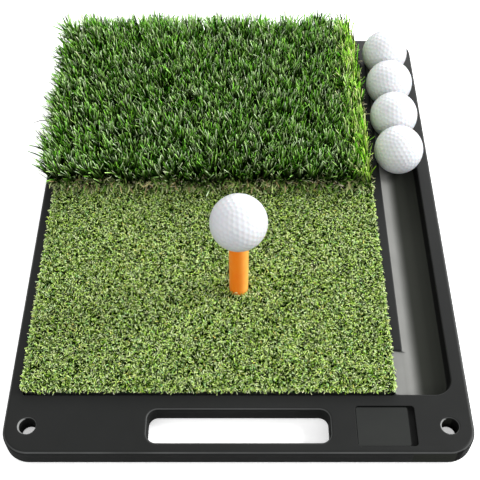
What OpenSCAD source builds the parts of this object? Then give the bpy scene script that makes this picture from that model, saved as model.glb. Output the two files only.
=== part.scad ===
// Golf hitting mat: a moulded tray with a lift-out turf insert, a flexing tee and a ball trough.
// X runs across the tray towards the trough, +Y runs from the handle to the rough grass, +Z is up.
// The origin is on the floor at the centre of the tray. "Near" is the handle end, "far" the rough end.

/* [Tray] */
// Width of the tray, across the trough side
tray_w = 340; // [336:1:350]
// Length of the tray, from the handle edge to the rough edge
tray_l = 445; // [441:1:455]
// Height of the moulded tray above its feet
tray_h = 15; // [14:0.5:18]
// Radius of the tray's four corners
corner_r = 20; // [12:1:24]
// Wall thickness of the moulding
wall = 3; // [2.4:0.2:3]
// Width of the ribs under the tray
rib_t = 2.4; // [1.6:0.2:3]

/* [Turf pocket] */
// Depth of the pocket that holds the turf
pocket_d = 9; // [8.8:0.2:10]
// Width of the left rim beside the pocket
left_rim = 10.5; // [6:0.5:12]
// Width of the far rim behind the pocket
far_rim = 10; // [8:0.5:12]
// Depth of the near shelf that holds the handle
near_shelf = 46; // [45:0.5:50]
// Gap round the turf insert
insert_gap = 1; // [0.5:0.1:2]

/* [Ball trough] */
// Width of the trough at its top
trough_w = 33.5; // [32.5:0.5:36]
// Depth of the trough
trough_d = 10; // [9:0.5:10]
// Width of the sloping left side of the trough
slope_w = 9.5; // [9:0.5:11]
// Width of the ledge between the turf pocket and the trough
ledge_w = 9.5; // [7:0.5:11]
// Width of the rim outside the trough
right_rim = 12; // [9:0.5:12]
// Length of the lift-out notch at the near end of the trough
notch_l = 37; // [30:1:50]
// Corner radius of the trough in plan
trough_r = 15; // [8:1:16]

/* [Handle and holes] */
// Length of the hand slot
slot_l = 132; // [110:1:136]
// Width of the hand slot
slot_w = 25.4; // [24:0.2:26]
// Corner radius of the hand slot
slot_r = 7; // [5:0.5:10]
// Diameter of the two peg holes
hole_d = 12; // [8:0.5:13]
// Depth of the blank badge recess
recess_d = 3; // [3:0.5:4]
// Thickness of the blank plate in the recess
badge_t = 2.2; // [1:0.2:2.4]
// Width of the finger groove beside the plate
groove_w = 5; // [3:0.5:8]

/* [Turf] */
// Height of the fairway pile above the tray top
fairway_h = 9; // [6:0.5:12]
// Height of the rough blades above the tray top
rough_h = 32; // [24:1:40]
// Length of the rough strip along Y
rough_l = 190; // [150:1:200]
// Height of the curled thatch at the foot of the rough
thatch_h = 6; // [4:0.5:8]

/* [Tee] */
// Outer diameter of the rubber tee
tee_d = 15; // [12:0.5:16]
// Height of the tee's rim above the tray top
tee_h = 66.5; // [50:0.5:75]
// Distance of the tee from the tray's middle, towards the handle
tee_y = 83; // [60:1:110]
// Largest lean of the tee, used for its relief in the pile
tee_lean = 40; // [20:1:45]

/* [Balls] */
// Diameter of a golf ball
ball_d = 42.67; // [42.67:0.01:43]

/* [Hidden] */
$fn = 96;
over = 1;  // how far a cut runs past the face it opens

// Tray
foot_h = 2;
base_z = foot_h;         // underside of the moulding
top = foot_h + tray_h;   // top face of the tray
under_z = top - 0.5;     // top of the ribs and casings, buried in the top wall
right_x = tray_w / 2;
left_x = -right_x;
far_y = tray_l / 2;
near_y = -far_y;
rib_xs = [-130, -90, -30, 30, 90];
rib_ys = [-150, -115, -50, 0, 50, 100, 150, 190];

// Ball trough and turf pocket
trough_x1 = right_x - right_rim;
trough_x0 = trough_x1 - trough_w;
trough_z = top - trough_d;
right_slope_w = 1;       // width of the steep right side
pocket_x0 = left_x + left_rim;
pocket_x1 = trough_x0 - ledge_w;
pocket_y0 = near_y + near_shelf;
pocket_y1 = far_y - far_rim;
pocket_z = top - pocket_d;
trough_y0 = pocket_y0 + 1;
trough_y1 = pocket_y1 - 2.5;
notch_x0 = pocket_x1 - 0.5;
notch_x1 = trough_x0 + 4.2;
notch_left_d = 0.8;
notch_right_d = 3.75;

// Handle slot, peg holes and badge recess
handle_y = near_y + 21.7;
slot_y0 = handle_y - slot_w / 2;
slot_y1 = handle_y + slot_w / 2;
peg_x = right_x - 17.5;
peg_wall = 3;
recess_x0 = 85;
recess_x1 = 128;
recess_y0 = near_y + 6;
recess_y1 = near_y + 37.5;
recess_r = 2.5;
recess_z = top - recess_d;
badge_gap = 0.4;         // on the left and near sides
badge_far_gap = 0.9;
badge_r = 1.5;

// Feet
foot_xs = [-148, 0, 148];
foot_ys = [-165, 0, 182];
foot_r = 9;
foot_plug = 1.5;         // depth of a foot's socket in the tray
foot_gap = 0.2;
foot_boss_wall = 2;
foot_hollow_r = 5;
foot_hollow_d = 0.8;

// Turf insert, from the pocket floor up
turf_x0 = pocket_x0 + insert_gap;
turf_x1 = pocket_x1 - insert_gap;
turf_y0 = pocket_y0 + 2 + insert_gap;
turf_y1 = pocket_y1 - insert_gap;
rough_y0 = turf_y1 - rough_l;
fairway_y1 = rough_y0 - 0.1;
strip_t = 0.8;
strip_w = 26;
strip_inset = 20;
near_strip_y = pocket_y0 + 14;
far_strip_y = 10;
far_strip_l = 180;
// Left edge of each fastening strip, length of its near part; the middle one stops short of the tee
strip_table = [
    [turf_x0 + strip_inset, 150],
    [-strip_w / 2, 40],
    [turf_x1 - strip_inset - strip_w, 150]
];
pad_z = pocket_z + 2 * strip_t + 0.1;
backing_t = 2;
pile_z = top - 1;        // where the pile leaves its backing
backing_z = pile_z - backing_t;
thatch_z = pile_z + thatch_h;

// Tee
tee_cy = -tee_y;
tee_r = tee_d / 2;
tee_gap = 0.6;           // clearance round the tee in the turf
tee_bore_r = tee_r - 2;
flange_r = 20;
flange_t = 2;
pivot_z = top + 5;       // centre of the tee's ball joint
relief_r = (top + fairway_h - pivot_z) * tan(tee_lean) + tee_r / cos(tee_lean) + tee_gap;

// Balls
ball_r = ball_d / 2;
rim_r = tee_r - 0.6;     // radius of the tee's rim where the ball sits
ball_tee_z = top + tee_h + sqrt(ball_r * ball_r - rim_r * rim_r) + 0.06;
// A ball in the trough rests on the slope or on the two upper edges, whichever holds it higher
ball_row_x = (trough_x0 + trough_x1) / 2;
on_edges = sqrt(ball_r * ball_r - trough_w * trough_w / 4);
on_slope = (ball_r * norm([slope_w, trough_d]) - trough_w / 2 * trough_d) / slope_w;
ball_row_z = top + max(on_edges, on_slope) + 0.1;
ball_pitch = ball_d + 0.13;
ball_far_y = trough_y1 - 23.5;
row_count = 4;

// Colours used by more than one node
backing_color = [0.13, 0.14, 0.12];
ball_color = [0.96, 0.96, 0.97];

// Rounded rectangle from one corner point to the other
module rounded_rect(x0, y0, x1, y1, r) {
    translate([x0 + r, y0]) square([x1 - x0 - 2 * r, y1 - y0]);
    translate([x0, y0 + r]) square([x1 - x0, y1 - y0 - 2 * r]);
    for (x = [x0 + r, x1 - r], y = [y0 + r, y1 - r]) translate([x, y]) circle(r);
}

// Box from its lowest corner to its highest
module slab(low, high) {
    translate(low) cube(high - low);
}

// A long cut whose section is a polygon in X and Z, from y0 to y1
module run(points, y0, y1) {
    translate([0, y1, 0]) rotate([90, 0, 0]) linear_extrude(y1 - y0) polygon(points);
}

module at_pegs(z) {
    for (x = [-peg_x, peg_x]) translate([x, handle_y, z]) children();
}

module at_feet(z) {
    for (x = foot_xs, y = foot_ys) translate([x, y, z]) children();
}

module at_tee(z) {
    translate([0, tee_cy, z]) children();
}

// The moulding's outer skin, open underneath
module tray_shell() {
    difference() {
        translate([0, 0, base_z]) linear_extrude(tray_h)
            rounded_rect(left_x, near_y, right_x, far_y, corner_r);
        translate([0, 0, base_z - over]) linear_extrude(tray_h - wall + over)
            rounded_rect(left_x + wall, near_y + wall, right_x - wall, far_y - wall, corner_r - wall);
    }
}

// Solid block that leaves a wall round an opening's plan
module casing(x0, y0, x1, y1, z) {
    slab([x0 - wall, y0 - wall, z], [x1 + wall, y1 + wall, under_z]);
}

module tray_supports() {
    casing(pocket_x0, pocket_y0, pocket_x1, pocket_y1, pocket_z - wall);
    casing(trough_x0, trough_y0, trough_x1, trough_y1, trough_z - wall);
    casing(recess_x0, recess_y0, recess_x1, recess_y1, recess_z - wall);
    casing(-slot_l / 2, slot_y0, slot_l / 2, slot_y1, base_z);
    at_pegs(base_z) cylinder(d = hole_d + 2 * peg_wall, h = under_z - base_z);
    at_feet(base_z) cylinder(r = foot_r + foot_boss_wall, h = under_z - base_z);
    for (x = rib_xs)
        slab([x - rib_t / 2, near_y + 1, base_z], [x + rib_t / 2, far_y - 1, under_z]);
    for (y = rib_ys)
        slab([left_x + 1, y - rib_t / 2, base_z], [right_x - 1, y + rib_t / 2, under_z]);
}

// The plan reaches past the sloping side, so only the two right corners are rounded
module trough_cut() {
    intersection() {
        run([
            [trough_x0, top],
            [trough_x0 + slope_w, trough_z],
            [trough_x1 - right_slope_w, trough_z],
            [trough_x1, top],
            [trough_x1, top + 5],
            [trough_x0, top + 5]
        ], trough_y0 - over, trough_y1 + over);
        translate([0, 0, trough_z - 5]) linear_extrude(trough_d + 12)
            rounded_rect(trough_x0 - 20, trough_y0, trough_x1, trough_y1, trough_r);
    }
}

// Lift-out notch, sloping down across the ledge into the trough
module notch_cut() {
    run([
        [notch_x0, top - notch_left_d],
        [notch_x1, top - notch_right_d],
        [notch_x1, top + 5],
        [notch_x0, top + 5]
    ], trough_y0, trough_y0 + notch_l);
}

module tray_openings() {
    slab([pocket_x0, pocket_y0, pocket_z], [pocket_x1, pocket_y1, top + over]);
    trough_cut();
    notch_cut();
    translate([0, 0, -over]) linear_extrude(top + 2 * over)
        rounded_rect(-slot_l / 2, slot_y0, slot_l / 2, slot_y1, slot_r);
    at_pegs(-over) cylinder(d = hole_d, h = top + 2 * over);
    translate([0, 0, recess_z]) linear_extrude(recess_d + over)
        rounded_rect(recess_x0, recess_y0, recess_x1, recess_y1, recess_r);
    at_feet(base_z - over) cylinder(r = foot_r + foot_gap, h = foot_plug + over);
}

module base_tray() {
    color([0.17, 0.175, 0.175]) difference() {
        union() {
            tray_shell();
            tray_supports();
        }
        tray_openings();
    }
}

module rubber_feet() {
    color([0.1, 0.1, 0.1]) at_feet(0) difference() {
        cylinder(r = foot_r, h = foot_h + foot_plug);
        translate([0, 0, -over]) cylinder(r = foot_hollow_r, h = foot_hollow_d + over);
    }
}

module blank_badge() {
    color([0.22, 0.225, 0.22]) translate([0, 0, recess_z]) linear_extrude(badge_t)
        rounded_rect(recess_x0 + badge_gap, recess_y0 + badge_gap,
            recess_x1 - groove_w, recess_y1 - badge_far_gap, badge_r);
}

// Three lines of fastening strip, each in a near and a far part
module strips(z) {
    for (strip = strip_table) translate([strip[0], 0, z]) {
        translate([0, near_strip_y, 0]) cube([strip_w, strip[1], strip_t]);
        translate([0, far_strip_y, 0]) cube([strip_w, far_strip_l, strip_t]);
    }
}

module hook_strips() {
    color([0.08, 0.08, 0.08]) strips(pocket_z);
}

module loop_strips() {
    color([0.14, 0.14, 0.14]) strips(pad_z - strip_t);
}

// One layer of the insert, across its full width
module turf_layer(y0, y1, z_low, z_high) {
    slab([turf_x0, y0, z_low], [turf_x1, y1, z_high]);
}

module foam_pad() {
    color([0.2, 0.2, 0.21]) difference() {
        turf_layer(turf_y0, turf_y1, pad_z, backing_z);
        at_tee(pad_z - over) cylinder(r = flange_r + 1, h = flange_t + 0.2 + over);
        at_tee(pad_z - over) cylinder(r = tee_r + tee_gap, h = backing_z - pad_z + 2 * over);
    }
}

module fairway_backing() {
    color(backing_color) difference() {
        turf_layer(turf_y0, fairway_y1, backing_z, pile_z);
        at_tee(backing_z - over) cylinder(r = tee_r + tee_gap, h = backing_t + 2 * over);
    }
}

module fairway_pile() {
    color([0.42, 0.5, 0.25]) difference() {
        turf_layer(turf_y0, fairway_y1, pile_z, top + fairway_h);
        at_tee(pile_z - over) cylinder(r = relief_r, h = fairway_h + 4);
    }
}

module rough_backing() {
    color(backing_color) turf_layer(rough_y0, turf_y1, backing_z, pile_z);
}

module rough_thatch() {
    color([0.45, 0.4, 0.22]) turf_layer(rough_y0, turf_y1, pile_z, thatch_z);
}

module rough_blades() {
    color([0.22, 0.45, 0.12]) turf_layer(rough_y0, turf_y1, thatch_z, top + rough_h);
}

// Flanged socket that the tube's round foot sits in
module tee_base() {
    color([0.92, 0.5, 0.13]) difference() {
        union() {
            at_tee(pad_z) cylinder(r = flange_r, h = flange_t);
            at_tee(pad_z + 1) cylinder(r = tee_r, h = pile_z - pad_z - 1);
        }
        at_tee(pivot_z) sphere(r = tee_r + 0.2);
        at_tee(pad_z - over) cylinder(r = tee_bore_r, h = 4);
    }
}

// Hollow tube with a round foot, its rim dished to the ball
module tee_tube() {
    color([0.95, 0.55, 0.16]) difference() {
        at_tee(pivot_z) {
            sphere(r = tee_r);
            cylinder(r = tee_r - 0.05, h = top + tee_h - pivot_z);
        }
        at_tee(pivot_z + 8) cylinder(r = tee_bore_r, h = tee_h);
        at_tee(ball_tee_z) sphere(r = ball_r + 0.05);
    }
}

module ball() {
    color(ball_color) sphere(d = ball_d, $fn = 128);
}

module teed_ball() {
    at_tee(ball_tee_z) ball();
}

// Balls in the trough are numbered from the near end
module row_ball(i) {
    translate([ball_row_x, ball_far_y - (row_count - i) * ball_pitch, ball_row_z]) ball();
}

module tray_ball_1() { row_ball(1); }
module tray_ball_2() { row_ball(2); }
module tray_ball_3() { row_ball(3); }
module tray_ball_4() { row_ball(4); }

base_tray();
rubber_feet();
blank_badge();
hook_strips();
loop_strips();
foam_pad();
fairway_backing();
fairway_pile();
rough_backing();
rough_thatch();
rough_blades();
tee_base();
tee_tube();
teed_ball();
tray_ball_1();
tray_ball_2();
tray_ball_3();
tray_ball_4();
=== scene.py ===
"""Golf practice tray: a moulded tray holding a turf insert (short fairway pile and tall rough),
a rubber tee and five balls. X runs to the right, Y to the back, Z up. Lengths are in mm
until they are handed to Blender, unless a comment says metres."""
import math

import bmesh
import bpy
import numpy as np
from mathutils import Euler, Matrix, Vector
from mathutils.geometry import tessellate_polygon


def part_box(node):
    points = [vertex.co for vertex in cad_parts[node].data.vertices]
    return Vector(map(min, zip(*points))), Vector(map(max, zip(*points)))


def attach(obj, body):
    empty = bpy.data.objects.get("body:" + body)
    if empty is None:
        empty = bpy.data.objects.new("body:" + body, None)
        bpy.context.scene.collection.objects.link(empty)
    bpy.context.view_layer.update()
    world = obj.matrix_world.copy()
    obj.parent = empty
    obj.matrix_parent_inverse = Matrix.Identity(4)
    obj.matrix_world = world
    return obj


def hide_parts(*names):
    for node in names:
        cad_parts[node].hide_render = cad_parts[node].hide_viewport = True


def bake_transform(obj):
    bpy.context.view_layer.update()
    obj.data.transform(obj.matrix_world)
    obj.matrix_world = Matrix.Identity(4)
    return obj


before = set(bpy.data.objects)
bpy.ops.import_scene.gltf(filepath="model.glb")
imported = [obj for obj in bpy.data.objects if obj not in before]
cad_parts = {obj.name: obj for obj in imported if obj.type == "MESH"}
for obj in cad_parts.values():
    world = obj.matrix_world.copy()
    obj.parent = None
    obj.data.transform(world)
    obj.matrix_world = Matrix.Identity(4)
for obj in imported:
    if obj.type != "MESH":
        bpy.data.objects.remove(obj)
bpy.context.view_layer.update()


MM = 0.001
rng = np.random.default_rng(7)


# ---------------------------------------------------------------- sizes from the frame
def mm_box(node):
    low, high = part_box(node)
    return np.array([*low]) * 1000, np.array([*high]) * 1000


TRAY_LOW, TRAY_HIGH = mm_box("base_tray")
X0, Y0, Z0 = (float(v) for v in TRAY_LOW)
X1, Y1, TOP = (float(v) for v in TRAY_HIGH)
FAIRWAY_LOW, FAIRWAY_HIGH = mm_box("fairway_pile")
ROUGH_LOW, ROUGH_HIGH = mm_box("rough_blades")
THATCH_LOW, THATCH_HIGH = mm_box("rough_thatch")
TEE_LOW, TEE_HIGH = mm_box("tee_tube")
BALLS = {node: mm_box(node) for node in ("teed_ball", *(f"tray_ball_{k}" for k in range(1, 5)))}
TEE_X, TEE_Y = 0, float((TEE_LOW[1] + TEE_HIGH[1]) / 2)
PILE_Z = float(FAIRWAY_LOW[2])  # where the turf stands


# ---------------------------------------------------------------- objects
def add_object(name, data):
    ob = bpy.data.objects.new(name, data)
    bpy.context.scene.collection.objects.link(ob)
    return ob


def mesh_object(name, verts, faces, colours=None):
    """Smooth mesh from vertices in mm and an (n, 3) or (n, 4) array of faces."""
    mesh = bpy.data.meshes.new(name)
    mesh.vertices.add(len(verts))
    mesh.vertices.foreach_set("co", (np.asarray(verts, np.float32) * MM).ravel())
    count, sides = faces.shape
    mesh.loops.add(count * sides)
    mesh.loops.foreach_set("vertex_index", faces.astype(np.int32).ravel())
    mesh.polygons.add(count)
    mesh.polygons.foreach_set("loop_start", np.arange(0, count * sides, sides, dtype=np.int32))
    mesh.polygons.foreach_set("use_smooth", np.full(count, True))
    mesh.update(calc_edges=True)
    if colours is not None:
        tint = mesh.color_attributes.new("tint", "FLOAT_COLOR", "POINT")
        rgba = np.ones((len(verts), 4), np.float32)
        rgba[:, :3] = colours
        tint.data.foreach_set("color", rgba.ravel())
    return add_object(name, mesh)


def register(ob, material, body, node=None):
    """Give a piece its material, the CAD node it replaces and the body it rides."""
    ob.data.materials.append(material)
    if node:
        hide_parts(node)
    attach(ob, body)


# ---------------------------------------------------------------- shader nodes
def linear(rgb):
    """sRGB 0-255 to linear."""
    c = np.array(rgb, float) / 255
    return np.where(c <= 0.04045, c / 12.92, ((c + 0.055) / 1.055) ** 2.4)


def feed(tree, socket, value):
    """Link a socket, or set it to a number, a vector or an RGB colour."""
    if isinstance(value, bpy.types.NodeSocket):
        tree.links.new(value, socket)
    elif socket.type == "RGBA":
        socket.default_value = (*[float(v) for v in value], 1)
    else:
        socket.default_value = value


def add_node(tree, kind, inputs=None, **settings):
    node = tree.nodes.new("ShaderNode" + kind)
    for key, value in settings.items():
        setattr(node, key, value)
    for key, value in (inputs or {}).items():
        feed(tree, node.inputs[key], value)
    return node


class Shader:
    """A Principled material. Input names are written with _ for the spaces."""

    def __init__(self, name, **inputs):
        self.material = bpy.data.materials.new(name)
        self.material.use_nodes = True
        self.tree = self.material.node_tree
        self.surface = next(n for n in self.tree.nodes if n.type == "BSDF_PRINCIPLED")
        self.set(**inputs)
        self.position = self.node("TexCoord").outputs["Object"]

    def node(self, kind, inputs=None, **settings):
        return add_node(self.tree, kind, inputs, **settings)

    def set(self, **inputs):
        for key, value in inputs.items():
            feed(self.tree, self.surface.inputs[key.replace("_", " ")], value)

    def noise(self, scale, detail=3.0, rough=0.5):
        return self.node("TexNoise", {"Scale": scale, "Detail": detail, "Roughness": rough,
                                      "Vector": self.position}).outputs["Fac"]

    def wave(self, scale, direction, distortion):
        return self.node("TexWave", {"Scale": scale, "Distortion": distortion,
                                     "Vector": self.position},
                         bands_direction=direction).outputs["Fac"]

    def ramp(self, fac, low, high, at=(0.3, 0.7)):
        """Two colours or greys, at the given positions."""
        node = self.node("ValToRGB", {"Fac": fac})
        for stop, position, c in zip(node.color_ramp.elements, at, (low, high)):
            stop.position = position
            stop.color = (*c, 1) if hasattr(c, "__len__") else (c, c, c, 1)
        return node.outputs["Color"]

    def math(self, operation, a, b):
        return self.node("Math", {0: a, 1: b}, operation=operation).outputs[0]

    def product(self, first, *others):
        for other in others:
            first = self.math("MULTIPLY", first, other)
        return first

    def mix(self, fac, a, b, kind="MIX"):
        return self.node("Mix", {0: fac, 6: a, 7: b}, data_type="RGBA",
                         blend_type=kind).outputs[2]

    def split(self, vector):
        return self.node("SeparateXYZ", {0: vector}).outputs

    def fade(self, value, start, end, low=0, high=1):
        """Smooth change from low at start to high at end."""
        return self.node("MapRange", {"Value": value, "From Min": start, "From Max": end,
                                      "To Min": low, "To Max": high},
                         interpolation_type="SMOOTHSTEP").outputs["Result"]

    def band(self, value, low, high, soft, unit=1.0):
        """1 between low and high, fading over soft."""
        low, high, soft = low * unit, high * unit, soft * unit
        return self.product(self.fade(value, low - soft, low),
                            self.fade(value, high, high + soft, low=1, high=0))

    def bump(self, height, strength, distance):
        """Distance is in metres. A second bump builds on the first."""
        normal = self.surface.inputs["Normal"]
        inputs = {"Strength": strength, "Distance": distance, "Height": height}
        if normal.is_linked:
            inputs["Normal"] = normal.links[0].from_socket
        self.set(Normal=self.node("Bump", inputs).outputs["Normal"])


# ---------------------------------------------------------------- materials
def tray_plastic():
    m = Shader("tray_plastic", Roughness=0.5, Specular_IOR_Level=0.15)
    x, y, z = m.split(m.position)
    normal_x, _, normal_z = m.split(m.node("NewGeometry").outputs["Normal"])

    def across(axis, low, high, soft):
        return m.band(axis, low, high, soft, unit=MM)

    def depth(start, full):
        """Fades in from one depth below the top face to another."""
        return m.fade(z, (TOP - start) * MM, (TOP - full) * MM)

    base = m.ramp(m.noise(scale=9, detail=4, rough=0.6),
                  low=(0.0084, 0.009, 0.0086), high=(0.011, 0.0116, 0.0112))
    # painted light: the paler side of the trough where the balls run, lightened as if lit from
    # the right
    slope = m.product(m.fade(x, 123.8 * MM, 125.2 * MM),
                      m.fade(x, 128.8 * MM, 140.2 * MM, low=1, high=0),
                      depth(start=0.3, full=0.9),
                      across(y, low=Y0 + 47.5, high=Y1 - 12, soft=2))
    # the floor of the lift-out notch, given the same painted light
    notch = m.product(across(x, low=115.8, high=126.2, soft=1.2), depth(start=0.35, full=0.8),
                      across(y, low=Y0 + 47.5, high=Y0 + 83.6, soft=0.6))
    # painted light on the trough's sloping side and the notch floor, with a little random spread
    painted_light = m.product(m.math("MAXIMUM", slope, notch),
                     m.fade(m.noise(scale=35), 0.25, 0.75, low=0.85, high=1.0))
    # the deep part of the trough
    deep = m.product(across(x, low=124.5, high=158.5, soft=1), depth(start=1.2, full=2.0))
    base = m.mix(deep, base, m.mix(1.0, base, (1.62, 1.66, 1.36), kind="MULTIPLY"))
    # painted highlight on the rounded rims, except around the trough
    inside = m.product(across(x, low=115, high=160, soft=0.6),
                       across(y, low=Y0 + 46.5, high=Y1 - 11.5, soft=0.6))
    rim = m.product(m.band(normal_z, low=0.66, high=0.84, soft=0.07),
                    depth(start=3.4, full=2.6), m.math("SUBTRACT", 1.0, inside),
                    m.fade(m.noise(scale=24), 0.25, 0.7, low=0.5, high=1.0))
    base = m.mix(rim, base, (0.062, 0.064, 0.063))
    # painted shade: nearly black where the trough's outer wall stands up, in the shadow of the
    # light from the right
    wall = m.product(across(x, low=155.3, high=159.3, soft=0.9), depth(start=0.4, full=0.9),
                     m.fade(normal_z, 0.6, 0.85, low=1, high=0))
    base = m.mix(wall, base, (0.0015, 0.0016, 0.0014))
    # painted highlight on the edges of the two peg holes that face right, towards the key light
    facing = m.product(m.fade(normal_x, 0.2, 0.5),
                       m.band(normal_z, low=0.2, high=0.93, soft=0.08))
    peg_hole_highlight = m.product(across(m.math("ABSOLUTE", x, 0.0), low=143.6, high=161.4, soft=0.4),
                     across(y, low=Y0 + 12.5, high=Y0 + 31, soft=0.4), facing)
    base = m.mix(peg_hole_highlight, base, (0.2, 0.204, 0.2))
    # painted shadow: the finger groove beside the blank badge, nearly black as if shaded by its
    # right wall
    groove_shadow = m.product(across(x, low=122.6, high=128.4, soft=0.3), depth(start=0.5, full=1.2),
                       across(y, low=Y0 + 5.5, high=Y0 + 38, soft=0.3))
    base = m.mix(groove_shadow, base, (0.0028, 0.003, 0.0028))
    grain = m.ramp(m.noise(scale=60, detail=3, rough=0.6), low=0.43, high=0.53)
    m.set(Base_Color=m.mix(painted_light, base, (0.172, 0.173, 0.164)),
          Roughness=m.mix(deep, grain, (0.8, 0.8, 0.8)))
    m.bump(m.noise(scale=2100, detail=2), strength=0.35, distance=0.00006)
    return m.material


def yarn(name, roughness, specular):
    """Yarn coloured by the blades' own tint, with greyer flecks."""
    m = Shader(name, Roughness=roughness, Specular_IOR_Level=specular,
               Specular_Tint=(0.6, 1.0, 0.4))
    tint = m.node("Attribute", attribute_name="tint").outputs["Color"]
    greyed = m.mix(m.noise(scale=1400, detail=2), tint, (0.55, 0.55, 0.5), kind="MULTIPLY")
    return m, tint, greyed


def yarn_material(name, roughness, specular):
    """Yarn coloured by the tint of each blade."""
    m = Shader(name, Roughness=roughness, Specular_IOR_Level=specular,
               Specular_Tint=(0.6, 1.0, 0.4))
    tint = m.node("Attribute", attribute_name="tint").outputs["Color"]
    shade = m.mix(m.noise(scale=1400, detail=2), tint, (0.55, 0.55, 0.5), kind="MULTIPLY")
    flecks = m.ramp(m.noise(scale=900, detail=2), low=0.0, high=0.55, at=(0.35, 0.7))
    own = m.node("Attribute", attribute_name="tint").outputs["Color"]
    m.set(Base_Color=m.mix(flecks, own, shade))
    return m.material


# name: sRGB dark, sRGB light, spot scale, roughness, specular,
#       bump scale, bump strength, bump distance in metres
SPECKLED = {
    # the first two, for the slabs that the pile stands in, are near-black: painted shade deep
    # between the fibres
    "shaded_turf_base": ((2, 8, 0), (12, 24, 0), 900, 0.95, 0.1, 1500, 0.8, 0.0006),
    "shaded_rough_base": ((2, 6, 0), (14, 22, 5), 700, 0.95, 0.5, 1300, 0.8, 0.0006),
    "turf_backing": ((24, 27, 20), (44, 48, 38), 500, 0.9, 0.5, 1100, 0.7, 0.0003),
    "pad_foam": ((44, 44, 46), (60, 60, 62), 900, 0.9, 0.5, 2600, 0.6, 0.0002),
    "foot_rubber": ((22, 22, 22), (36, 36, 36), 300, 0.8, 0.5, 1200, 0.4, 0.0001),
    "tray_rib_plastic": ((30, 31, 31), (40, 41, 41), 120, 0.55, 0.5, 2100, 0.3, 0.00006),
    "badge_plastic": ((24, 26, 25), (29, 31, 29), 30, 0.6, 0.2, 2400, 0.25, 0.00005),
}


def speckled(name, dark, light, spots, roughness, specular, bump_scale, strength, distance):
    m = Shader(name, Roughness=roughness, Specular_IOR_Level=specular)
    m.set(Base_Color=m.ramp(m.noise(spots, detail=4, rough=0.6), linear(dark), linear(light)))
    m.bump(m.noise(bump_scale, detail=3, rough=0.6), strength, distance)
    return m.material


def tape(name, dark, light, scale, depth):
    """Hook or loop tape: crossed waves with a fine fuzz."""
    m = Shader(name, Roughness=0.95)
    weave = m.product(*(m.wave(scale, axis, distortion=1.5) for axis in "XY"))
    m.set(Base_Color=m.ramp(weave, linear(dark), linear(light), at=(0.2, 0.8)))
    m.bump(weave, strength=0.9, distance=depth)
    m.bump(m.noise(scale=3000), strength=0.5, distance=0.0002)
    return m.material


def tee_rubber():
    m = Shader("tee_rubber", Roughness=0.36, Specular_IOR_Level=0.6, Subsurface_Weight=0.1,
               Subsurface_Scale=0.004, Subsurface_Radius=(1.0, 0.45, 0.15), Sheen_Weight=0.22,
               Sheen_Roughness=0.35, Sheen_Tint=(1.0, 0.8, 0.25))
    body = m.ramp(m.noise(scale=70, detail=4, rough=0.6),
                  low=(1.0, 0.19, 0.003), high=(1.0, 0.235, 0.006), at=(0.3, 0.72))
    # painted light: paler towards the right, the side the key light falls on
    painted_light_right = m.product(m.fade(m.split(m.position)[0], -1.5 * MM, 6.8 * MM),
                      m.fade(m.noise(scale=160), 0.2, 0.7, low=0.75, high=1.0))
    m.set(Base_Color=m.mix(painted_light_right, body, (1.0, 0.44, 0.085)),
          Roughness=m.ramp(m.noise(scale=400), low=0.32, high=0.46))
    m.bump(m.noise(scale=1500, detail=2), strength=0.2, distance=0.00006)
    return m.material


def ball_cover():
    m = Shader("ball_cover", Roughness=0.34, Specular_IOR_Level=0.4, Coat_Weight=0.06,
               Coat_Roughness=0.25, Subsurface_Weight=0.15, Subsurface_Scale=0.003)
    m.set(Base_Color=m.ramp(m.noise(scale=55, detail=4, rough=0.6),
                            low=(0.568, 0.580, 0.604), high=(0.600, 0.611, 0.634)),
          Roughness=m.ramp(m.noise(scale=300), low=0.31, high=0.42))
    m.bump(m.noise(scale=2500, detail=2), strength=0.08, distance=0.00003)
    return m.material


def yarn_material(name, roughness, specular):
    """Yarn in the tint of each blade, with darker flecks that keep to that tint."""
    m = Shader(name, Roughness=roughness, Specular_IOR_Level=specular,
               Specular_Tint=(0.6, 1.0, 0.4))
    tint, shade_tint = (m.node("Attribute", attribute_name="tint").outputs["Color"]
                        for _ in range(2))
    shade = m.mix(m.noise(scale=1400, detail=2), shade_tint, (0.55, 0.55, 0.5), kind="MULTIPLY")
    flecks = m.ramp(m.noise(scale=900, detail=2), low=0.0, high=0.55, at=(0.35, 0.7))
    m.set(Base_Color=m.mix(flecks, tint, shade))
    return m.material


TRAY_PLASTIC = tray_plastic()
ROUGH_YARN = yarn_material("rough_yarn", roughness=0.48, specular=0.1)
FAIRWAY_YARN = yarn_material("fairway_yarn", roughness=0.7, specular=0.04)
THATCH_YARN = yarn_material("thatch_yarn", roughness=0.65, specular=0.2)
PLAIN = {name: speckled(name, *values) for name, values in SPECKLED.items()}
HOOK_TAPE = tape("hook_tape", dark=(10, 10, 10), light=(34, 34, 34), scale=260, depth=0.0005)
LOOP_TAPE = tape("loop_tape", dark=(24, 24, 25), light=(52, 52, 54), scale=180, depth=0.0004)
TEE_RUBBER = tee_rubber()
BALL_COVER = ball_cover()


# ---------------------------------------------------------------- tray
# boxes are (x low, y low, x high, y high)
WALL = 3.0
OUTSIDE = (X0, Y0, X1, Y1)
POCKET, POCKET_DEPTH = (X0 + 10.5, Y0 + 46, X1 - 55, Y1 - 10), 9.0
TROUGH = (X1 - 45.5, Y0 + 47, X1 - 12, Y1 - 12.5)
NOTCH_X, NOTCH_BACK, NOTCH_DEPTH = X1 - 54.25, Y0 + 84, 3.65  # left side, back, deepest
HAND_SLOT = (-66, Y0 + 9, 66, Y0 + 34.4)
PEG_HOLES, PEG_RADIUS = [(side * 152.5, Y0 + 21.7) for side in (-1, 1)], 6
BADGE, BADGE_DEPTH = (85, Y0 + 6, 128, Y0 + 37.5), 3.0
BADGE_UNDER = (82, Y0 + 3.6, 131, Y0 + 40.5)
BELLY = (X0 + 5, Y0 + 43, X1 - 9, Y1 - 7)
FEET = [(x, y) for x in (-148, 0, 148) for y in (-165, 0, 182)]
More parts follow.
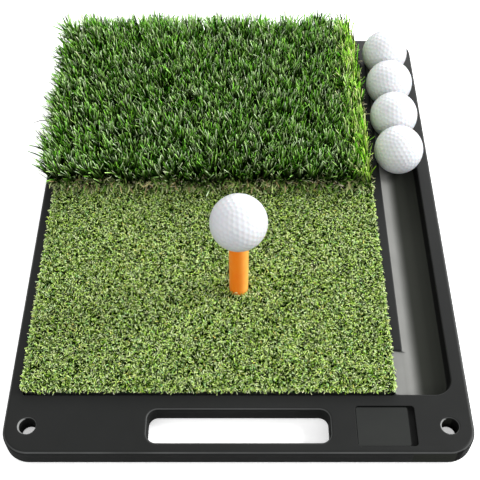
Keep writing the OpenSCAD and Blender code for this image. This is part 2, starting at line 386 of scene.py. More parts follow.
# depth, inset of the left side, inset of the other sides
TROUGH_ROWS = [
    (0, -0.7, -1.3), (0.1, -0.4, -0.85), (0.35, 0.0, -0.45), (0.8, 0.55, -0.15),
    (1.4, 1.2, 0), (2.2, 2.0, 0.08), (3.0, 2.8, 0.12), (3.7, 3.5, 0.16),
    (5.0, 4.8, 0.22), (6.4, 6.15, 0.32), (7.7, 7.5, 0.5), (8.7, 8.8, 0.85),
    (9.35, 10.0, 1.35), (9.8, 11.6, 2.2), (10.0, 14.0, 3.6)]


class Loft:
    """Rings of points joined into walls, and flat faces filled between rings."""

    def __init__(self):
        self.verts, self.faces = [], []

    def ring(self, points, z):
        first = len(self.verts)
        self.verts += [(x, y, z) for x, y in points]
        return list(range(first, first + len(points)))

    def wall(self, outline, stations, closed=False):
        """Joins outline(size) at z for each (size, z). Returns the first and last rings."""
        rings = [self.ring(outline(size), z) for size, z in stations]
        for a, b in zip(rings, rings[1:]):
            n = len(a)
            self.faces += [(a[k], a[(k + 1) % n], b[(k + 1) % n], b[k]) for k in range(n)]
        if closed:
            self.fill(rings[-1])
        return rings[0], rings[-1]

    def fill(self, *loops):
        """Flat face inside the first loop, less the others."""
        flat = [i for loop in loops for i in loop]
        triangles = tessellate_polygon(
            [[Vector((*self.verts[i][:2], 0)) for i in loop] for loop in loops])
        self.faces += [tuple(flat[k] for k in t) for t in triangles]


def rounded(outline, steps=8):
    """Closed right-angled outline of (x, y, radius), anticlockwise, each corner rounded."""
    points = []
    for i, (x, y, radius) in enumerate(outline):
        corner = np.array([x, y])
        arrive = corner - np.array(outline[i - 1][:2])
        leave = np.array(outline[(i + 1) % len(outline)][:2]) - corner
        radius = max(radius, 0.01)
        start = corner - radius * (arrive / max(np.linalg.norm(arrive), 1e-9))
        end = corner + radius * (leave / max(np.linalg.norm(leave), 1e-9))
        centre = start + end - corner
        for k in range(steps + 1):
            t = math.pi / 2 * k / steps
            point = centre + (start - centre) * math.cos(t) + (end - centre) * math.sin(t)
            points.append((float(point[0]), float(point[1])))
    return points


def rectangle(box, radius, grow=0.0, steps=8):
    x0, y0, x1, y1 = box
    r = max(radius + grow, 0.02)
    return rounded([(x0 - grow, y0 - grow, r), (x1 + grow, y0 - grow, r),
                    (x1 + grow, y1 + grow, r), (x0 - grow, y1 + grow, r)], steps)


def circle(x, y, radius, n=48):
    return [(x + radius * math.cos(2 * math.pi * k / n),
             y + radius * math.sin(2 * math.pi * k / n)) for k in range(n)]


def sunk(stations):
    """(size, depth below the top face) to (size, z)."""
    return [(size, TOP - depth) for size, depth in stations]


def rim(radius, steps):
    """(how far out, z) from the top face over a rounded rim to a wall."""
    angles = [math.pi / 2 * k / steps for k in range(steps + 1)]
    return sunk([(radius * (1 - math.sin(t)), radius * (1 - math.cos(t))) for t in angles])


def trough_outline(row):
    depth, left_inset, inset = row
    x0, y0, x1, y1 = TROUGH
    left, front, right, back = x0 + left_inset, y0 + inset, x1 - inset, y1 - inset
    radius, left_radius = 13.0 - inset, 4.0 + left_inset * 0.3
    step_y = NOTCH_BACK - inset
    right_side = [(right, front, radius), (right, back, radius), (left, back, left_radius)]
    if depth < NOTCH_DEPTH:
        # the notch floor is a shallow ramp that meets the sloping side
        notch = NOTCH_X + 0.15 * min(depth / 0.8, 1) + max(depth - 0.8, 0) * 4.3
        step = left - notch
        step_radius = min(1.2, 0.3 * step)
        return rounded([(notch, front, min(1.6, 0.3 * step)), *right_side,
                        (left, step_y, step_radius), (notch, step_y, step_radius)])
    points = rounded([(left, front, 1.2 + left_inset * 0.35), *right_side])
    # as many points as the rings that have the notch
    return points + [(left, step_y + 0.9 - 0.1 * k) for k in range(18)]


def loft_tray():
    loft = Loft()
    # over the rim, down the side and under to the skirt's inner wall
    outer, skirt = loft.wall(
        lambda inset: rectangle(OUTSIDE, 20, -inset, steps=14),
        rim(radius=3.0, steps=7) + [(0, Z0 + 0.8), (0.24, Z0 + 0.24), (0.8, Z0),
                                    (WALL, Z0), (WALL, TOP - WALL)])
    pocket, _ = loft.wall(
        lambda grow: rectangle(POCKET, 2.0, grow),
        sunk([(0.5, 0), (0.3, 0.08), (0.1, 0.25), (0, 0.5), (0, POCKET_DEPTH - 0.6),
              (-0.2, POCKET_DEPTH - 0.2), (-0.6, POCKET_DEPTH)]), closed=True)
    trough, _ = loft.wall(trough_outline, sunk([(row, row[0]) for row in TROUGH_ROWS]),
                          closed=True)
    slot, slot_under = loft.wall(
        lambda grow: rectangle(HAND_SLOT, 7.0, grow, steps=10),
        rim(radius=2.2, steps=7) + [(0, Z0 + 1.0), (0.3, Z0 + 0.3), (1.0, Z0),
                                    (WALL, Z0), (WALL, TOP - WALL)])
    peg_stations = [(PEG_RADIUS + out, z) for out, z in rim(radius=1.6, steps=5)]
    peg_stations += [(PEG_RADIUS, Z0 + 0.5), (PEG_RADIUS + 0.5, Z0), (PEG_RADIUS + WALL, Z0),
                     (PEG_RADIUS + WALL, TOP - WALL)]
    holes = [loft.wall(lambda radius: circle(x, y, radius), peg_stations)
             for x, y in PEG_HOLES]
    badge, _ = loft.wall(
        lambda grow: rectangle(BADGE, 2.5, grow),
        sunk([(0.45, 0), (0.15, 0.12), (0, 0.4), (0, 2.7), (-0.3, BADGE_DEPTH)]), closed=True)
    loft.fill(outer, pocket, trough, slot, badge, *[top for top, _ in holes])

    # underside
    belly_top, belly = loft.wall(lambda grow: rectangle(BELLY, 4, grow),
                                 [(0, TOP - WALL), (0, Z0 + 2.4), (-0.4, Z0 + 2.0)])
    badge_under, _ = loft.wall(lambda grow: rectangle(BADGE_UNDER, 2, grow),
                               [(0, TOP - WALL), (0, TOP - BADGE_DEPTH - WALL)], closed=True)
    bosses = [loft.wall(lambda radius: circle(x, y, radius),
                        [(11, Z0 + 2.0), (11, Z0), (9.2, Z0), (9.2, Z0 + 1.5)], closed=True)
              for x, y in FEET]
    loft.fill(belly, *[top for top, _ in bosses])
    loft.fill(skirt, belly_top, badge_under, slot_under, *[under for _, under in holes])
    return loft


def build_tray():
    loft = loft_tray()
    mesh = bpy.data.meshes.new("tray_shell")
    mesh.from_pydata([(x * MM, y * MM, z * MM) for x, y, z in loft.verts], [], loft.faces)
    bm = bmesh.new()
    bm.from_mesh(mesh)
    bmesh.ops.remove_doubles(bm, verts=bm.verts, dist=1e-6)
    bmesh.ops.dissolve_degenerate(bm, edges=bm.edges, dist=1e-7)
    bmesh.ops.recalc_face_normals(bm, faces=bm.faces)
    for face in bm.faces:
        face.smooth = True
    for edge in bm.edges:
        sharp = len(edge.link_faces) == 2 and edge.calc_face_angle(0) > math.radians(38)
        edge.smooth = not sharp
    bm.to_mesh(mesh)
    bm.free()
    ob = add_object("tray_shell", mesh)
    weighted = ob.modifiers.new("weighted", "WEIGHTED_NORMAL")
    weighted.keep_sharp = True
    weighted.weight = 100
    register(ob, TRAY_PLASTIC, body="tray", node="base_tray")


def build_ribs():
    """Lattice of moulded ribs under the tray, each rib with softened edges."""
    half, end_gap = 1.2, 2
    boxes = [(x - half, Y0 + end_gap, x + half, Y1 - end_gap) for x in (-130, -90, 90)]
    boxes += [(X0 + end_gap, y - half, X1 - end_gap, y + half)
              for y in (-150, -115, -50, 50, 100, 150)]
    bm = bmesh.new()
    for x0, y0, x1, y1 in boxes:
        verts = [bm.verts.new((x * MM, y * MM, z * MM))
                 for x, y in ((x0, y0), (x1, y0), (x1, y1), (x0, y1))
                 for z in (Z0 + 0.2, Z0 + 4.5)]
        low, high = verts[::2], verts[1::2]
        bm.faces.new(low[::-1])
        bm.faces.new(high)
        for k in range(4):
            after = (k + 1) % 4
            bm.faces.new((low[k], low[after], high[after], high[k]))
    bmesh.ops.bevel(bm, geom=list(bm.edges), offset=0.4 * MM, segments=2, affect="EDGES")
    bmesh.ops.recalc_face_normals(bm, faces=bm.faces)
    mesh = bpy.data.meshes.new("tray_ribs")
    bm.to_mesh(mesh)
    bm.free()
    register(add_object("tray_ribs", mesh), PLAIN["tray_rib_plastic"], body="tray")


# ---------------------------------------------------------------- grass
# The random draws follow one another in a fixed order, keyword arguments included.
def sprout(base, pitch, azimuth, length, width, shaded_root, tip, segments, bend, curl, taper,
           vee=0, jitter=0.0, floor=-np.inf, side_turn=0.0, power=1.0, hue=(1.0, 1.0, 1.0)):
    """Blades or curled fibres: vertices, faces and colours, most arguments one per blade.
    pitch and azimuth give the first direction; bend turns pitch and curl turns azimuth along
    the blade. vee folds it, power holds the root colour up it, hue does so per channel."""
    n = len(base)
    step = (length / segments)[:, None]
    point = base.copy()
    points, along = [point.copy()], []
    for k in range(segments):
        s = k / max(segments - 1, 1)
        p = pitch + bend * (s ** 1.3)
        a = azimuth + curl * s
        if jitter:
            p = p + rng.normal(0, jitter, n)
            a = a + rng.normal(0, jitter, n)
        direction = np.stack([np.cos(p) * np.cos(a), np.cos(p) * np.sin(a), np.sin(p)], 1)
        point = point + direction * step
        point[:, 2] = np.maximum(point[:, 2], floor)
        points.append(point.copy())
        along.append(direction)
    points = np.stack(points, 1)
    along = np.stack([along[0], *along], 1)
    side = np.cross(along, np.array([0.0, 0.0, 1.0]))
    # a nearly upright stretch takes its side from the azimuth
    upright = np.linalg.norm(side, axis=2, keepdims=True) < 0.15
    level = np.stack([-np.sin(azimuth), np.cos(azimuth), 0 * azimuth], 1)[:, None, :]
    side = np.where(upright, level, side)
    side /= np.linalg.norm(side, axis=2, keepdims=True)
    turn = (side_turn + rng.uniform(-0.5, 0.5, n))[:, None, None]
    side = side * np.cos(turn) + np.cross(side, along) * np.sin(turn)
    s = np.linspace(0, 1, segments + 1)[None, :, None]
    half = width[:, None, None] * (1 - taper * s ** 2.5) / 2
    rails = [points - side * half, points + side * half]
    if vee > 0:
        rails.insert(1, points + np.cross(side, along) * half * vee)
    verts = np.stack(rails, 2)
    across = len(rails)
    # painted shade: the colour runs from the dark root colour, the shade low among the blades,
    # to the tip
    rise = s[..., None] ** power
    colours = shaded_root[:, None, None, :] * (1 - rise) + tip[:, None, None, :] * rise ** np.array(hue)
    colours = np.broadcast_to(colours, verts.shape)
    i = np.arange(n * (segments + 1) * across).reshape(n, segments + 1, across)
    faces = [np.stack([i[:, k, j], i[:, k, j + 1], i[:, k + 1, j + 1], i[:, k + 1, j]], 1)
             for k in range(segments) for j in range(across - 1)]
    return verts.reshape(-1, 3), np.concatenate(faces), colours.reshape(-1, 3)


def grass_pieces(node, parts, blades, material):
    """Cuts the blades into pieces along the vertex list."""
    verts, faces, colours = blades
    parts = parts
    cut = np.linspace(0, len(verts), parts + 1).astype(int)
    for k in range(parts):
        piece = faces[(faces[:, 0] >= cut[k]) & (faces[:, 0] < cut[k + 1])]
        used, index = np.unique(piece, return_inverse=True)
        ob = mesh_object(f"{node}_{'abcd'[k]}", verts[used], index.reshape(piece.shape),
                         colours[used])
        register(ob, material, "turf_insert", node)


def vary(n, tones, weights=None, spread=0.12):
    """One of the sRGB tones for each blade, made linear, with some spread."""
    tones = np.array([linear(tone) for tone in tones])
    c = tones[rng.choice(len(tones), n, p=weights)]
    return c * np.exp(rng.normal(0, spread, (n, 1))) * np.exp(rng.normal(0, spread / 5, (n, 3)))


def capped(c, top=1.0):
    return c / np.maximum(c.max(1, keepdims=True) / top, 1.0)


def near(distance, reach):
    """1 at an edge, falling to 0 at reach."""
    return np.maximum(1 - distance / reach, 0)


def build_rough():
    """Tall blades in tufts, on a jittered grid with extra tufts at the back and left."""
    (x0, y0), (x1, y1) = ROUGH_LOW[:2], ROUGH_HIGH[:2]
    per_tuft = 12
    spacing, extra = ((5.4, 150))
    grid_x, grid_y = np.meshgrid(np.arange(x0 + 1.2, x1 - 0.6, spacing),
                                 np.arange(y0 + 1.6, y1 - 0.6, spacing))
    tuft_x = np.concatenate([grid_x.ravel() + rng.uniform(-1.5, 1.5, grid_x.size),
                             rng.uniform(x0 + 1, x1 - 1, extra),
                             x0 + rng.uniform(0.5, 6, extra // 2)])
    tuft_y = np.concatenate([grid_y.ravel() + rng.uniform(-1.5, 1.5, grid_x.size),
                             rng.uniform(y1 - 7, y1 - 0.8, extra),
                             rng.uniform(y0 + 3, y1 - 1, extra // 2)])
    tufts = len(tuft_x)
    n = tufts * per_tuft

    def each(values):
        return np.repeat(values, per_tuft)

    x = np.clip(each(tuft_x) + rng.normal(0, 0.62, n), x0, x1)
    y = np.clip(each(tuft_y) + rng.normal(0, 0.62, n), y0, y1)
    base = np.stack([x, y, np.full(n, PILE_Z + 1.0)], 1)
    azimuth = each(rng.uniform(0, 2 * math.pi, tufts)) + rng.normal(0, 0.9, n)
    lean = each(np.abs(rng.normal(0.06, 0.07, tufts))) + np.abs(rng.normal(0.04, 0.08, n))
    # the outer blades lean out, except that those on the right lean in a little
    edge_x = -0.38 * near(x - x0, 14) - 0.03 * near(x1 - x, 10)
    edge_y = 0.30 * near(y1 - y, 12) - 0.10 * near(y - y0, 7)
    left = np.clip((0 - x) / 160, 0, 1) * 0.09
    lean_x = np.cos(azimuth) * lean + edge_x * rng.uniform(0.1, 1.1, n) - left
    lean_y = np.sin(azimuth) * lean + edge_y * rng.uniform(0.2, 1.2, n)
    lean_x = np.where(x > x1 - 12, np.minimum(lean_x, 0.02) - 0.09, lean_x)
    # the front left corner stands straighter
    corner = (y < y0 + 12) & (x < x0 + 16)
    lean_x = np.where(corner, lean_x * 0.6, lean_x)
    lean_y = np.where(corner, np.maximum(lean_y, -0.12), lean_y)
    azimuth = np.arctan2(lean_y, lean_x)
    lean = np.clip(np.hypot(lean_x, lean_y), 0.02, 0.7)
    length = rng.normal(30.0, 2.8, n) + each(rng.normal(0, 2.1, tufts))
    length = np.clip(length, 18, 36.5) + 1.0 + 2.2 * (y > y1 - 9)
    width = rng.uniform(1.25, 2.1, n)
    # painted shade: near-black roots, the shade low among the blades
    shaded_root = vary(n, [(0, 4, 0), (0, 8, 0), (2, 13, 0)])
    # the palest tip tone, (228, 250, 200), is partly the yarn's pale tone and partly a painted
    # highlight for glints on the blades
    tip = vary(n, [(114, 172, 56), (178, 222, 128), (54, 112, 20), (228, 250, 200), (4, 26, 0)],
               weights=[0.23, 0.22, 0.12, 0.21, 0.22], spread=0.2)
    tip = tip * each(rng.uniform(0.55, 1.4, tufts))[:, None]
    # painted light: tips and roots brighter and warmer to the right, where the key light falls,
    # and tips brighter at the back
    bright = np.clip((x - (x1 - 22)) / 16, 0, 1)[:, None]
    far = np.clip((y - (y1 - 16)) / 12, 0, 1)[:, None]
    warm = 1 + bright * np.array([0.16, 0.0, -0.3])
    tip = capped(tip * (1.5 + 1.6 * bright + 0.6 * far) * warm)
    shaded_root = shaded_root * (1 + 2.0 * bright) + tip * (0.56 * bright + 0.2 * far)
    blades = sprout(base, math.pi / 2 - lean, azimuth, length, width, shaded_root, tip, segments=5,
                    bend=-np.abs(rng.normal(0.12, 0.34, n)), curl=rng.normal(0, 0.7, n),
                    vee=0.45, taper=0.72, side_turn=rng.uniform(-0.9, 0.9, n), power=8.2,
                    hue=(1.1, 1.0, 1.3))
    verts = blades[0]
    verts[:, 2] = np.minimum(verts[:, 2], ROUGH_HIGH[2] + 5)
    grass_pieces("rough_blades", 3, blades, ROUGH_YARN)


def build_thatch():
    (x0, y0), (x1, y1) = THATCH_LOW[:2], THATCH_HIGH[:2]
    share = 1.0
    front, sides, under, bent = (int(count * share) for count in (4200, 2400, 3600, 800))
    # curled fibres along the front edge, at the sides and under the blades
    n = front + sides + under
    x = np.concatenate([rng.uniform(x0, x1, front),
                        rng.choice([x0, x1], sides) + rng.normal(0, 0.8, sides),
                        rng.uniform(x0, x1, under)])
    y = np.concatenate([y0 + rng.normal(0.9, 1.5, front), rng.uniform(y0, y1, sides),
                        rng.uniform(y0, y1, under)])
    z = PILE_Z + np.concatenate([rng.uniform(2, 15, front), rng.uniform(0.5, 7, sides),
                                 rng.uniform(2, 8, under)])
    base = np.stack([np.clip(x, x0 - 1, x1 + 1), y, z], 1)
    azimuth = rng.uniform(0, 2 * math.pi, n)
    azimuth[:front] = rng.normal(-math.pi / 2, 1.1, front)
    pitch = rng.uniform(-0.2, 1.1, n)
    # the near-black tone, nearly half the fibres, is painted shade at the foot of the rough
    tone = vary(n, [(220, 212, 166), (156, 142, 96), (150, 180, 94), (10, 22, 0),
                    (236, 234, 196)],
                weights=[0.18, 0.04, 0.14, 0.48, 0.16], spread=0.25)
    # painted shade: each fibre darkens to an eighth of its tone at the root
    fibres = sprout(base, pitch, azimuth, length=rng.uniform(4.5, 8.5, n),
                    width=rng.uniform(0.55, 1.05, n), shaded_root=tone * 0.12, tip=tone, segments=5,
                    bend=rng.normal(-0.7, 0.8, n), curl=rng.normal(0, 2.2, n), taper=0.5,
                    jitter=0.3, floor=PILE_Z + 0.2)
    # bent blades that lie across the front edge
    base = np.stack([rng.uniform(x0, x1, bent), y0 + rng.normal(1.2, 1.3, bent),
                     PILE_Z + rng.uniform(6, 16, bent)], 1)
    tone = vary(bent, [(184, 198, 134), (136, 172, 82), (176, 160, 112), (70, 112, 32)],
                weights=[0.26, 0.3, 0.14, 0.3], spread=0.2)
    # painted shade: these blades darken towards the root
    across = sprout(base, pitch=rng.uniform(-0.1, 0.5, bent),
                    azimuth=rng.normal(-math.pi / 2, 1.0, bent),
                    length=rng.uniform(6, 13, bent), width=rng.uniform(0.9, 1.6, bent),
                    shaded_root=tone * 0.45, tip=tone, segments=5, bend=-rng.uniform(0.2, 1.1, bent),
                    curl=rng.normal(0, 1.1, bent), taper=0.6, jitter=0.15, floor=PILE_Z + 1)
    shifted = (across[0], across[1] + len(fibres[0]), across[2])
    blades = [np.concatenate(pair) for pair in zip(fibres, shifted)]
    grass_pieces("rough_thatch", 1, blades, THATCH_YARN)


def build_fairway():
    x0, x1, y0, y1 = FAIRWAY_LOW[0], FAIRWAY_HIGH[0], FAIRWAY_LOW[1], FAIRWAY_HIGH[1] + 4
    n = 88000
    x, y = rng.uniform(x0, x1, n), rng.uniform(y0, y1, n)
    # some fibres crowd the left (0), right (1) and front (2) edges
    crowd = n // 14
    side = rng.integers(0, 3, crowd)
    x[:crowd] = np.where(side == 0, x0 + rng.exponential(0.6, crowd),
                         np.where(side == 1, x1 - rng.exponential(0.6, crowd), x[:crowd]))
    y[:crowd] = np.where(side == 2, y0 + 1.2 + rng.exponential(0.8, crowd), y[:crowd])
    # clear of the tee
    keep = np.hypot(x - TEE_X, y - TEE_Y) > 8.4
    x, y = np.clip(x[keep], x0 + 0.6, x1 - 0.6), y[keep]
    n = len(x)
    y = np.maximum(y, y0 + 1.2 + rng.exponential(0.5, n))
    z = TOP + rng.uniform(0.6, 5.6, n)
    # fibres within 3 mm of those edges point outwards; the others have no outward direction
    outward = np.where(x < x0 + 3, math.pi, np.where(
        x > x1 - 3, 0.0, np.where(y < y0 + 3, -math.pi / 2, np.nan)))
    inner = np.isnan(outward)
    azimuth = rng.uniform(0, 2 * math.pi, n)
    azimuth = np.where(inner, azimuth, outward + rng.normal(0, 0.9, n))
    pitch = rng.uniform(0.5, 1.45, n)
    pitch = np.where(inner, pitch, pitch * 0.85)
    z = np.where(inner, z, TOP + rng.uniform(-0.8, 4.0, n))
    # the palest tones, scaled past white below, are partly the yarn's pale tone and partly
    # painted highlight; the near-black tone is painted shade for the gaps
    tone = vary(n, [(232, 249, 170), (186, 212, 112), (120, 158, 46), (12, 34, 0),
                    (244, 252, 212), (154, 194, 138), (232, 216, 128)],
                weights=[0.25, 0.15, 0.05, 0.27, 0.23, 0.04, 0.01], spread=0.2)
    tone = capped(tone * np.array([1.68, 1.76, 1.52]), top=1.08)
    # painted shade: fibres darken to a few hundredths of their tone at the root
    blades = sprout(np.stack([x, y, z], 1), pitch, azimuth, length=rng.uniform(3.2, 5.7, n),
                    width=rng.uniform(0.38, 0.68, n), shaded_root=tone * np.array([0.04, 0.06, 0.015]),
                    tip=tone, segments=4, bend=-rng.uniform(0.7, 2.2, n),
                    curl=rng.normal(0, 1.9, n), taper=0.35, jitter=0.25, floor=TOP + 0.2,
                    power=1.5, hue=(1.1, 0.97, 1.3))
    verts = blades[0]
    verts[:, 2] = np.minimum(verts[:, 2], FAIRWAY_HIGH[2] + 0.8)
    grass_pieces("fairway_pile", 4, blades, FAIRWAY_YARN)


def lumpy_core(name, node, low, high, z_top, material):
    """Closed, lumpy slab that the fibres stand in."""
    step, inset = 2.4, 0.6
    nx, ny = (int((high[k] - low[k]) / step) for k in range(2))
    x, y = np.meshgrid(np.linspace(low[0] + inset, high[0] - inset, nx),
                       np.linspace(low[1] + inset, high[1] - inset, ny), indexing="ij")
    z = z_top + rng.normal(0, 0.35, x.shape)
    # lower along the edges, twice so at the corners
    z[[0, -1], :] -= 1.2
    z[:, [0, -1]] -= 1.2
    verts = [np.stack([x, y, height], 2).reshape(-1, 3)
             for height in (z, np.full(x.shape, PILE_Z))]
    n = nx * ny
    i = np.arange(n).reshape(nx, ny)
    top = np.stack([i[:-1, :-1], i[1:, :-1], i[1:, 1:], i[:-1, 1:]], 2).reshape(-1, 4)
    border = np.array([*i[:, 0], *i[-1, 1:], *i[-2::-1, -1], *i[0, -2:0:-1]])
    after = np.roll(border, -1)
    wall = np.stack([border, border + n, after + n, after], 1)
    ob = mesh_object(name, np.concatenate(verts), np.concatenate([top, top[:, ::-1] + n, wall]))
    register(ob, material, "turf_insert", node)


# ---------------------------------------------------------------- tee and balls
def revolve(name, profile, x, y, n=72):
    """Turns a closed loop of (radius, z) about an upright axis."""
    radius, z = np.array(profile).T
    a = np.linspace(0, 2 * math.pi, n, endpoint=False)
    verts = np.stack([x + radius[:, None] * np.cos(a), y + radius[:, None] * np.sin(a),
                      np.repeat(z[:, None], n, 1)], 2).reshape(-1, 3)
    rings = np.arange(len(profile) * n).reshape(-1, n)
    faces = [np.stack([a, np.roll(a, -1), np.roll(b, -1), b], 1)
             for a, b in zip(rings, np.roll(rings, -1, axis=0))]
    return mesh_object(name, verts, np.concatenate(faces))


def build_tee():
    outer, bore = 7.5, 5.35
    high, low = float(TEE_HIGH[2]), PILE_Z - 0.6
    heights = (high - 2.2, low + 2)
    # (radius, z): foot, outer wall, lip, bore, foot
    profile = [(5.2, low), (7.2, low), (outer, low + 0.3)]
    profile += [(outer, z) for z in np.linspace(*heights[::-1], 44)]
    profile += [(radius, high - drop) for radius, drop in (
        (outer, 1.4), (outer, 0.7), (7.38, 0.28), (7.15, 0.08), (6.95, 0.02),
        (6.6, 0.32), (6.0, 0.75), (5.5, 1.3))]
    profile += [(bore, z) for z in np.linspace(*heights, 44)] + [(5.25, low + 0.4)]
    ob = revolve("tee_sleeve", profile, TEE_X, TEE_Y)
    ob.data.materials.append(TEE_RUBBER)
    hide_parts("tee_tube")
    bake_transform(ob)


def geodesic(parts):
    """Directions of an icosahedron's points with each edge split into parts."""
    g = (1 + 5 ** 0.5) / 2
    corners = np.array([
        (-1, g, 0), (1, g, 0), (-1, -g, 0), (1, -g, 0), (0, -1, g), (0, 1, g),
        (0, -1, -g), (0, 1, -g), (g, 0, -1), (g, 0, 1), (-g, 0, -1), (-g, 0, 1)], float)
    triangles = [
        (0, 11, 5), (0, 5, 1), (0, 1, 7), (0, 7, 10), (0, 10, 11),
        (1, 5, 9), (5, 11, 4), (11, 10, 2), (10, 7, 6), (7, 1, 8),
        (3, 9, 4), (3, 4, 2), (3, 2, 6), (3, 6, 8), (3, 8, 9),
        (4, 9, 5), (2, 4, 11), (6, 2, 10), (8, 6, 7), (9, 8, 1)]
    points = []
    for a, b, c in triangles:
        for i in range(parts + 1):
            for j in range(parts + 1 - i):
                point = (corners[a] * i + corners[b] * j + corners[c] * (parts - i - j)) / parts
                points.append(point / np.linalg.norm(point))
    points = np.unique(np.round(np.array(points), 5), axis=0)
    return points / np.linalg.norm(points, axis=1, keepdims=True)


def ball_mesh(radius):
    """The mesh, and its dimpled vertices in metres about the ball's centre."""
    bm = bmesh.new()
    bmesh.ops.create_icosphere(bm, subdivisions=6, radius=1.0)
    mesh = bpy.data.meshes.new("ball_cover")
    bm.to_mesh(mesh)
    bm.free()
    for face in mesh.polygons:
        face.use_smooth = True
    points = np.empty(len(mesh.vertices) * 3, np.float32)
    mesh.vertices.foreach_get("co", points)
    points = points.reshape(-1, 3).astype(float)
    points /= np.linalg.norm(points, axis=1, keepdims=True)
    # distance over the surface to the nearest dimple, in batches to save memory
    centres, batch = geodesic(6), 8000
    nearest = np.concatenate([(points[i:i + batch] @ centres.T).max(1)
                              for i in range(0, len(points), batch)])
    distance = np.arccos(np.clip(nearest, -1, 1)) * radius
    dimple_radius, dimple_depth = 1.85, 0.27
    bowl = np.clip(1 - (distance / dimple_radius) ** 2, 0, 1)
    depth = dimple_depth * np.minimum(bowl * 1.15, 1) ** 1.15
    return mesh, points * (radius - depth)[:, None] * MM


def build_balls():
    low, high = BALLS["teed_ball"]
    first, points = ball_mesh(radius=float(high[2] - low[2]) / 2)
    first.materials.append(BALL_COVER)
    for k, (node, (low, high)) in enumerate(BALLS.items()):
        # each ball is turned its own way
        turn = np.array(Euler((0.3 + 1.1 * k, 0.7 - 0.6 * k, 0.4 + 0.9 * k)).to_matrix())
        mesh = first if k == 0 else first.copy()
        placed = points @ turn.T + (low + high) / 2 * MM
        mesh.vertices.foreach_set("co", placed.astype(np.float32).ravel())
        mesh.update()
        ob = add_object(node + "_cover", mesh)
        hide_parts(node)
        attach(ob, node + "_body")


# ---------------------------------------------------------------- CAD pieces kept as they are
def finish_cad_piece(node, material, bevel):
    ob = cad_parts[node]
    # a piece may come with or without material slots
    if ob.data.materials:
        for slot in ob.material_slots:
            slot.link = "OBJECT"
            slot.material = material
    else:
        ob.data.materials.append(material)
    soft = ob.modifiers.new("soft_edge", "BEVEL")
    soft.width = bevel * MM
    soft.segments = 3
    soft.limit_method = "ANGLE"
    soft.angle_limit = math.radians(40)
    soft.harden_normals = False


# node, material, bevel
CAD_PIECES = [
    ("rubber_feet", PLAIN["foot_rubber"], 0.4), ("blank_badge", PLAIN["badge_plastic"], 0.15),
    ("hook_strips", HOOK_TAPE, 0.2), ("loop_strips", LOOP_TAPE, 0.2),
    ("foam_pad", PLAIN["pad_foam"], 0.5), ("fairway_backing", PLAIN["turf_backing"], 0.4),
    ("rough_backing", PLAIN["turf_backing"], 0.4), ("tee_base", TEE_RUBBER, 0.3)]

build_tray()
build_ribs()
build_fairway()
build_rough()
build_thatch()
lumpy_core("fairway_core", "fairway_pile", FAIRWAY_LOW, FAIRWAY_HIGH, z_top=TOP + 2.2,
           material=PLAIN["shaded_turf_base"])
lumpy_core("rough_core", "rough_thatch", THATCH_LOW, THATCH_HIGH, z_top=PILE_Z + 4.5,
           material=PLAIN["shaded_rough_base"])
build_tee()
build_balls()
for piece in CAD_PIECES:
    finish_cad_piece(*piece)


# ---------------------------------------------------------------- floor, light, camera (metres)
def build_floor(half=6):
    mesh = bpy.data.meshes.new("floor")
    mesh.from_pydata([(-half, -half, 0), (half, -half, 0), (half, half, 0), (-half, half, 0)],
                     [], [(0, 1, 2, 3)])
    ob = add_object("floor", mesh)
    m = Shader("floor_paint", Roughness=0.9, Specular_IOR_Level=0.1,
               Emission_Color=(1, 1, 1), Emission_Strength=0.42)
    m.set(Base_Color=m.ramp(m.noise(scale=3, detail=2), low=(0.93,) * 3, high=(0.95,) * 3))
    # pale to look at, but it throws less light back on the tray
    seen = m.node("LightPath").outputs["Is Camera Ray"]
    dim = m.node("BsdfDiffuse", {"Color": (0.3, 0.3, 0.3)}).outputs[0]
    pick = m.node("MixShader", {0: seen, 1: dim, 2: m.surface.outputs[0]})
    output = next(n for n in m.tree.nodes if n.type == "OUTPUT_MATERIAL")
    feed(m.tree, output.inputs["Surface"], pick.outputs[0])
    mesh.materials.append(m.material)


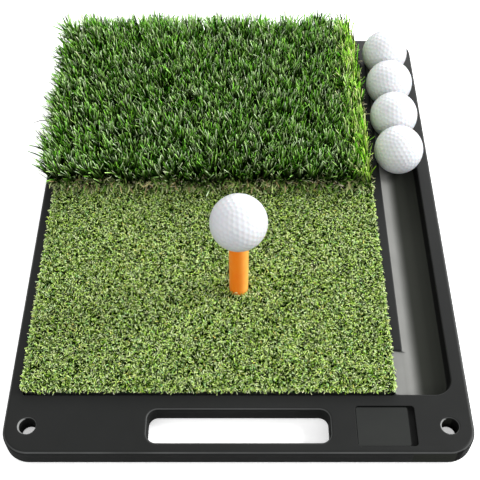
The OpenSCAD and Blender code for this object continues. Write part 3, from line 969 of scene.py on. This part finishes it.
# name, place, aim, width and height, watts
LIGHTS = [
    ("key_right", (2.3, 0.44, 1.6), (0, 0, 0.02), (0.8, 0.8), 61),
    ("rear_fill", (0.2, 1.4, 0.75), (0, 0, 0.02), (1.2, 0.5), 12),
    ("side_card", (1.9, 0.2, 0.68), (0.0, -0.05, 0.05), (1.8, 0.5), 24),
    ("front_strip", (-0.5, -1.9, 1.35), (0, -0.05, 0.03), (2.6, 0.16), 14)]


def add_area_light(name, place, aim, size, watts):
    light = bpy.data.lights.new(name, "AREA")
    light.shape = "RECTANGLE"
    light.size, light.size_y = size
    light.energy = watts
    ob = add_object(name, light)
    ob.location = place
    ob.rotation_euler = (Vector(aim) - Vector(place)).to_track_quat("-Z", "Y").to_euler()


def build_world():
    """A white tent, darker towards the front and the left, even where the camera sees it."""
    world = bpy.data.worlds.new("studio")
    bpy.context.scene.world = world
    world.use_nodes = True
    tree = world.node_tree
    direction = add_node(tree, "TexCoord").outputs["Generated"]
    bright_side = add_node(tree, "VectorMath", {0: direction, 1: (0.42, 0.72, 0.45)},
                           operation="DOT_PRODUCT").outputs["Value"]
    tent = add_node(tree, "MapRange", {"Value": bright_side, "From Min": -0.7, "From Max": 0.8,
                                       "To Min": 0.80, "To Max": 1.0}).outputs["Result"]
    seen = add_node(tree, "LightPath").outputs["Is Camera Ray"]
    pale = add_node(tree, "Mix", {0: seen, 6: tent, 7: (0.95, 0.95, 0.95)}, data_type="RGBA")
    background = tree.nodes["Background"]
    background.inputs["Strength"].default_value = 1.0
    feed(tree, background.inputs["Color"], pale.outputs[2])


def build_camera():
    """Above the front edge, looking down and back."""
    camera = bpy.data.cameras.new("camera")
    camera.sensor_width = 36.0
    camera.lens = 67.16
    camera.clip_start = 0.01
    ob = add_object("camera", camera)
    ob.location = (0.001, -0.4873, TOP * MM + 0.593)
    ob.rotation_euler = (math.radians(37.5), 0, 0)
    bpy.context.scene.camera = ob


build_floor()
for light in LIGHTS:
    add_area_light(*light)
build_world()
bpy.context.scene.view_settings.view_transform = "Standard"
bpy.context.scene.view_settings.look = "None"
build_camera()
